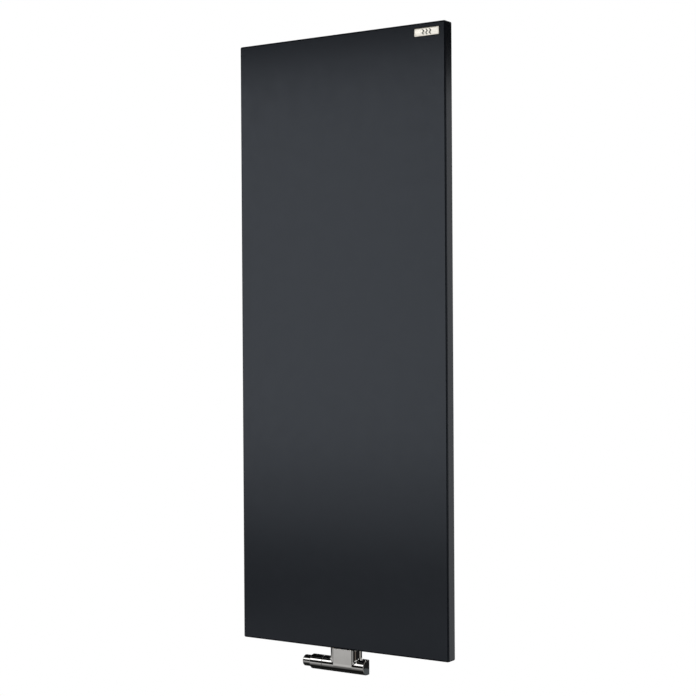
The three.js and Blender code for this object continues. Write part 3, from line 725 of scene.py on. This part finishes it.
def cover_distance(x, y, z):
    """The distance to the cover's shell, which is open above, behind and towards the head."""
    body = cover_body(x, y, z)
    plate = box_distance(x, y, z, (-28.5, -COVER["radius"], -3.0), (28.5, -13.0, COVER["top"] + 9), 2.6)
    outer = soft_union(body, plate, 0.8)
    shell = trimmed(outer, -(body + COVER["wall"]), 0.5)
    for limit in (-(x - COVER["left"]), z - COVER["top"], y - COVER["back"]):
        shell = trimmed(shell, limit, 0.6)
    return shell


def make_cover():
    low = (COVER["left"], -COVER["radius"], -COVER["radius"])
    high = (COVER["right"], COVER["back"], COVER["top"])
    skin, normals = surface_of(cover_distance, low, high, 0.8, HEAD_AXIS)
    piece("cover_shell", skin, "chrome", stands_for="valve_cover", normals=normals)


def bar_distance(across, along, radius, low, high, edge=0.8):
    """The distance to a round bar between two places along its axis."""
    return trimmed(across - radius, np.maximum(low - along, along - high), edge)


def valve_distance(x, y, z):
    """The distance to the brass body: a barrel and a block with two legs, two outlets and their waterways."""
    side = np.abs(x)
    barrel, leg, outlet = np.hypot(y, z), np.hypot(side - HALF_PITCH, y), np.hypot(side - HALF_PITCH, z)
    out = bar_distance(barrel, x, 14.5, -40, 40)
    out = np.minimum(out, bar_distance(barrel, x, 14.7, -50, -39))
    out = soft_union(out, box_distance(x, y, z, (-38, 2, -13.5), (38, 18, 13.5), 2.5), 2)
    out = soft_union(out, bar_distance(leg, z, 12.4, 0, 26.2, 0.4), 2.5)
    out = soft_union(out, bar_distance(outlet, y, 12.1, 10, 26, 0.6), 2)
    for across, along, radius, start, end in (
        (leg, z, 8, 0, 30),
        (barrel, side, 11, 18, 55),
        (barrel, side, 5.5, 15, 20),
        (barrel, side, 9, 5, 16),
        (outlet, y, 8, 13.2, 30),
    ):
        out = trimmed(out, -bar_distance(across, along, radius, start, end, 0.1), 0.4)
    return out


def make_valve_body():
    skin, normals = surface_of(valve_distance, (-50, -14.7, -14.7), (40, 26, 26.2), 0.9, HEAD_AXIS)
    piece("valve_casting", skin, "brass", stands_for="valve_body", normals=normals)
    threads = Skin()
    for side, _ in LEFT_RIGHT:
        helix(threads, 12.0, 13.2, 19.2, 25.6, leg_axis(side))
    piece("outlet_threads", threads, "brass", crease=50)


def leg_axis(side):
    """The point on the head's axis under the left (-1) or the right (1) connection."""
    return HEAD_AXIS[0] + side * HALF_PITCH, HEAD_AXIS[1], HEAD_AXIS[2]


def helix(skin, root, crest, start, end, at):
    """A screw thread along y that fades out at both ends."""
    sides, pitch = 48, PIPE_THREAD
    rows = int((end - start) / pitch * 8)
    turns = np.arange(sides) * 2 * math.pi / sides
    rings = []
    for i in range(rows + 1):
        place = start + (end - start) * i / rows
        phase = (place / pitch - turns / (2 * math.pi)) % 1.0
        height = np.clip(1.35 * (1 - np.abs(2 * phase - 1)) - 0.18, 0, 1)
        fade = min(1.0, i / 6, (rows - i) / 6)
        reach = root + (crest - root) * height * fade
        flat = np.stack([reach * np.cos(turns), reach * np.sin(turns)], 1)
        rings.append(skin.ring(laid("y", flat, place, at)))
    skin.tube(rings)
    inner = [skin.ring(laid("y", circle(root - 1.5, sides), place, at)) for place in (start, end)]
    skin.tube([rings[0], inner[0], inner[1], rings[-1]])


def make_connections():
    for side, name in LEFT_RIGHT:
        at = leg_axis(side)
        tail = Skin()
        profile = [
            (7.5, 28.4, 0.3), (12.4, 28.4, 0.3), (12.4, 31.2, 0.3), (10.4, 31.2, 0.5), (10.4, 41.5, 0.3),
            (9.7, 42.0, 0.2), (9.7, 43.0, 0.2), (10.4, 43.5, 0.3), (10.4, 53.4, 0.6), (7.5, 53.4, 0.3),
        ]
        turned(tail, "z", rounded(profile, 0.3), 64, at)
        piece(f"union_tail_{name}", tail, "brass", stands_for=f"tail_piece_{name}")
        nut = Skin()
        flats, start, end = 27, 15, 33.5
        chamfer = np.linspace(0, 2.4, 7)
        outside = [(BEYOND, start + c) for c in chamfer] + [(BEYOND, end - c) for c in chamfer[::-1]]
        inside = [(10.9, end), (10.9, end - 2), (12.9, end - 2), (12.9, start)]
        turned(nut, "z", outside + inside, 96, at, shape=hex_reach(flats, (start, end)))
        piece(f"union_hexagon_{name}", nut, "brass", stands_for=f"union_nut_{name}")


NUT_RADIUS = 16.2
NUT_ENDS = (-56, -43)


def knurled(radius, turns, place):
    """Grip ribs on the widest part of the head's nut, which fade out over the last millimetre at both ends."""
    if radius <= NUT_RADIUS - 0.3:
        return np.full(len(turns), float(radius))
    ribs = 0.22 * np.abs(np.sin(20 * turns))
    return radius - ribs * min(1.0, abs(place - NUT_ENDS[0] - 0.4), abs(place - NUT_ENDS[1] + 0.4))


def make_head():
    wheel = Skin()
    radius, start, end = COVER["radius"], COVER["left"] - 0.6, -99.0
    profile = [
        (13.3, start), (13.3, -90), (12, -90), (12, end),
        (radius, end, 2.2), (radius, end + 6), (radius, start, 0.7),
    ]
    turned(wheel, "x", rounded(profile, 0.3, 8), 128, HEAD_AXIS)
    piece("handwheel_shell", wheel, "chrome", body="handwheel", stands_for="handwheel")

    tip = Skin()
    radius, start, end = 13.85, -99.3, -122.4
    profile = [
        (9.9, -92), (9.9, start, 0), (11.5, start - 1.5), (11.5, end + 2), (0, end + 2, 0), (0, end, 0),
        (radius, end, 2.6), (radius, start, 0.5), (11.7, start), (11.7, -92),
    ]
    turned(tip, "x", rounded(profile, 0.3, 8), 128, HEAD_AXIS)
    piece("head_end", tip, "chrome", body="handwheel", stands_for="head_tip")

    nut = Skin()
    low, high = NUT_ENDS
    profile = [
        (15.0, -52), (13.2, -52), (13.2, low), (NUT_RADIUS, low), (NUT_RADIUS, low + 1),
        (NUT_RADIUS, high - 1), (NUT_RADIUS, high), (15.0, high),
    ]
    turned(nut, "x", rounded(profile, 0.5, 4), 160, HEAD_AXIS, shape=knurled)
    piece("head_ring", nut, "chrome", stands_for="head_nut")


# ---------------------------------------------------------------- pieces that stay as they are in the frame

# Each with its finish and the width of its bevels.
KEPT = {
    "flow_divider": ("steel", 0.3),
    "gasket_left": ("fibre", 0.2),
    "gasket_right": ("fibre", 0.2),
    "insert_bonnet": ("brass", 0.3),
    "insert_gland": ("nickel", 0.3),
    "valve_stem": ("steel", 0.2),
    "valve_disc": ("rubber", 0.3),
    "stem_spring": ("steel", 0.0),
    "lockshield_bonnet": ("nickel", 0.4),
    "lockshield_spindle": ("steel", 0.2),
    "lockshield_cone": ("brass", 0.2),
    "head_base": ("nylon", 0.3),
    "sensor_element": ("nylon", 0.4),
}


def dress_kept():
    for name, (look, edge) in KEPT.items():
        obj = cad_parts[name]
        obj.data.materials.clear()
        obj.data.materials.append(FINISHES[look])
        if edge:
            bevel = obj.modifiers.new("edges", "BEVEL")
            bevel.width = edge * MM
            bevel.segments = 2
            bevel.limit_method = "ANGLE"
            bevel.angle_limit = math.radians(40)


# ---------------------------------------------------------------- studio, in metres

CHROME_PIECES = ("cover_shell", "handwheel_shell", "head_end", "head_ring")


def aimed(position, target):
    """The matrix of a lamp or card at a position that faces a target."""
    towards = (Vector(target) - Vector(position)).to_track_quat("-Z", "Y")
    return Matrix.Translation(position) @ towards.to_matrix().to_4x4()


def softbox(name, position, target, width, height, radiance, colour=(1, 1, 1)):
    """A lamp that looks equally bright whatever its size."""
    lamp = bpy.data.lights.new(name, "AREA")
    lamp.shape = "RECTANGLE"
    lamp.color = colour
    lamp.size, lamp.size_y = width, height
    lamp.energy = radiance * width * height * math.pi
    obj = bpy.data.objects.new(name, lamp)
    scene.collection.objects.link(obj)
    obj.matrix_world = aimed(position, target)
    obj.visible_camera = False
    return obj


def lights_up(lamp, things, how):
    """The lamp shines on these things only, or on all but these."""
    receivers = bpy.data.collections.new(lamp.name + " receivers")
    for thing in things:
        receivers.objects.link(thing)
    for entry in receivers.collection_objects:
        entry.light_linking.link_state = how
    lamp.light_linking.receiver_collection = receivers


def glowing(name, strength):
    """A material that gives light of its own, with its tree and its emission node."""
    material = bpy.data.materials.new(name)
    material.use_nodes = True
    tree = material.node_tree
    tree.nodes.clear()
    output = tree.nodes.new("ShaderNodeOutputMaterial")
    glow = tree.nodes.new("ShaderNodeEmission")
    glow.inputs["Strength"].default_value = strength
    tree.links.new(glow.outputs["Emission"], output.inputs["Surface"])
    return material, tree, glow


def staged(name, corners, material, camera=False):
    """A flat card or floor that is no part of the radiator."""
    mesh = bpy.data.meshes.new(name)
    mesh.from_pydata(corners, [], [tuple(range(len(corners)))])
    mesh.materials.append(material)
    obj = bpy.data.objects.new(name, mesh)
    scene.collection.objects.link(obj)
    obj.visible_camera = camera
    return obj


def make_backdrop():
    """A white world and floor, which only the camera sees."""
    world = bpy.data.worlds.new("studio")
    scene.world = world
    world.use_nodes = True
    tree = world.node_tree
    tree.nodes.clear()
    output = tree.nodes.new("ShaderNodeOutputWorld")
    seen, unseen = (tree.nodes.new("ShaderNodeBackground") for _ in range(2))
    seen.inputs["Strength"].default_value = 1.0
    seen.inputs["Color"].default_value = (1, 1, 1, 1)
    unseen.inputs["Strength"].default_value = 0.015
    chosen = tree.nodes.new("ShaderNodeMixShader")
    path = tree.nodes.new("ShaderNodeLightPath")
    tree.links.new(path.outputs["Is Camera Ray"], chosen.inputs["Fac"])
    tree.links.new(unseen.outputs[0], chosen.inputs[1])
    tree.links.new(seen.outputs[0], chosen.inputs[2])
    tree.links.new(chosen.outputs[0], output.inputs["Surface"])

    pale, _, _ = glowing("floor", 1.0)
    reach, level = 40.0, -0.28
    corners = [(-reach, -reach, level), (reach, -reach, level), (reach, reach, level), (-reach, reach, level)]
    floor = staged("floor", corners, pale, camera=True)
    floor.visible_glossy = False
    floor.visible_diffuse = False
    floor.visible_shadow = False


def make_lamps():
    chrome, front_pieces = (
        [bpy.data.objects[name] for name in names]
        for names in (CHROME_PIECES, CHROME_PIECES + ("casing_shell", "badge", "badge_shadow_pad", "badge_symbol"))
    )
    # The tall softbox at the front left, which the front sheet mirrors, and a smaller one for the chrome.
    for name, bottom, top, radiance in (
        ("front_softbox", 0.30, 1.78, 1.23),
        ("front_middle", 0.06, 0.30, 0.84),
        ("front_low", -0.24, 0.06, 0.33),
    ):
        middle = (bottom + top) / 2
        lamp = softbox(name, (-1.0, -1.55, middle), (-1.0, 0.0, middle), 1.74, top - bottom, radiance)
        lights_up(lamp, chrome, "EXCLUDE")
    strip = softbox("valve_softbox", (-1.15, -1.55, 1.21), (-1.15, 0.0, 1.21), 1.9, 0.92, 1.8)
    lights_up(strip, chrome, "INCLUDE")
    badge_light = softbox("badge_softbox", (-1.0, -1.55, 1.85), (-1.0, 0.0, 1.85), 1.6, 0.7, 1.6)
    lights_up(badge_light, [bpy.data.objects["badge"]], "INCLUDE")
    # What the casing's right-hand side mirrors.
    flank = softbox("side_softbox", (0.957, 1.171, 0.55), (0.3, -0.065, 0.55), 0.88, 2.1, 0.62)
    lights_up(flank, chrome, "EXCLUDE")
    # What the valve's sleeves, its right-hand end and, for someone on the left, its plate mirror.
    for name, position, target, width, height, radiance, colour in (
        ("valve_side_softbox", (1.16, 0.78, 0.2), (0.04, -0.06, 0.2), 0.35, 1.6, 0.65, (1.0, 0.97, 0.92)),
        ("sleeve_card", (1.34, -1.57, -0.45), (0.03, -0.06, -0.45), 0.42, 0.9, 0.15, (1.0, 0.84, 0.70)),
        ("end_card", (0.82, 1.12, -0.595), (0.06, -0.06, -0.595), 0.6, 0.5, 0.085, (0.80, 0.92, 1.0)),
        ("plate_softbox_high", (1.29, -1.59, 0.30), (0.0, -0.06, 0.30), 1.45, 1.2, 0.5, (1.0, 1.0, 1.0)),
        ("plate_softbox_low", (1.29, -1.59, -1.30), (0.0, -0.06, -1.30), 1.45, 1.3, 0.5, (1.0, 1.0, 1.0)),
    ):
        lights_up(softbox(name, position, target, width, height, radiance, colour), chrome, "INCLUDE")
    # A wide softbox behind, for the core, its fixings and the valve's brass, and a narrower one for the rest.
    rear = softbox("rear_softbox", (0.0, 3.0, 0.2), (0.0, 0.0, 0.2), 9.0, 4.6, 0.9)
    lights_up(rear, front_pieces, "EXCLUDE")
    inner = softbox("rear_narrow_softbox", (-0.1, 3.0, 0.75), (-0.1, 0.0, 0.75), 2.2, 2.3, 0.9)
    lights_up(inner, front_pieces, "INCLUDE")
    for side, name in LEFT_RIGHT:
        softbox(f"flank_softbox_{name}", (side * 2.8, -0.1, 0.7), (0, -0.1, 0.7), 1.2, 2.2, 0.7)
    # The softbox that the front sheet mirrors towards someone on the left.
    right = softbox("right_softbox", (2.4, -1.9, 0.2), (0.0, 0.0, 0.2), 1.3, 3.4, 0.45)
    lights_up(right, chrome, "EXCLUDE")
    # Light from above, from behind and on the left-hand side.
    softbox("top_softbox", (0.1, -0.6, 3.4), (0, -0.06, 0.8), 1.6, 1.2, 0.35)
    softbox("back_softbox", (0.0, 2.3, 3.9), (0, 0, 0.8), 2.4, 1.6, 3.0)
    softbox("left_softbox", (-1.7, 0.3, 0.8), (-0.3, -0.065, 0.8), 1.2, 1.4, 0.2)


def make_low_card():
    """A low card that fades towards the floor, mirrored in the lower half of the valve."""
    bottom, top = -2.4, -0.2
    brightest, fading = 0.59, 3.4
    material, tree, glow = glowing("low_card", 0.6)
    place = tree.nodes.new("ShaderNodeTexCoord").outputs["Object"]
    parts = tree.nodes.new("ShaderNodeSeparateXYZ")
    tree.links.new(place, parts.inputs[0])
    depth = spread(tree, parts.outputs["Z"], 0.0, 1.0, (bottom, top))
    fade = tree.nodes.new("ShaderNodeMath")
    fade.operation = "POWER"
    fade.inputs[1].default_value = fading
    tree.links.new(depth, fade.inputs[0])
    tree.links.new(spread(tree, fade.outputs[0], 0.0, brightest, (0, 1)), glow.inputs["Strength"])
    corners = [(-2.3, -0.55, bottom), (0.1, -1.95, bottom), (0.1, -1.95, top), (-2.3, -0.55, top)]
    card = staged("low_card", corners, material)
    card.visible_diffuse = False
    card.visible_shadow = False


def make_camera():
    yaw, pitch, roll = (math.radians(a) for a in (-33.4884, -0.4296, -0.3483))
    ahead = Vector((math.sin(yaw) * math.cos(pitch), math.cos(yaw) * math.cos(pitch), math.sin(pitch)))
    right = Vector((math.cos(yaw), -math.sin(yaw), 0.0))
    up = right.cross(ahead)
    across = math.cos(roll) * right + math.sin(roll) * up
    upward = -math.sin(roll) * right + math.cos(roll) * up
    lens = bpy.data.cameras.new("camera")
    lens.lens = 80.4174
    lens.sensor_width = 36.0
    lens.clip_end = 200.0
    camera = bpy.data.objects.new("camera", lens)
    scene.collection.objects.link(camera)
    turn = Matrix((across, upward, -ahead)).transposed().to_4x4()
    camera.matrix_world = Matrix.Translation((2.1075, -3.2300, 0.7639)) @ turn
    scene.camera = camera
    scene.view_settings.view_transform = "Standard"


make_casing()
make_badge()
make_core()
make_vent()
make_fixings()
make_cover()
make_valve_body()
make_connections()
make_head()
dress_kept()
make_backdrop()
make_lamps()
make_low_card()
make_camera()
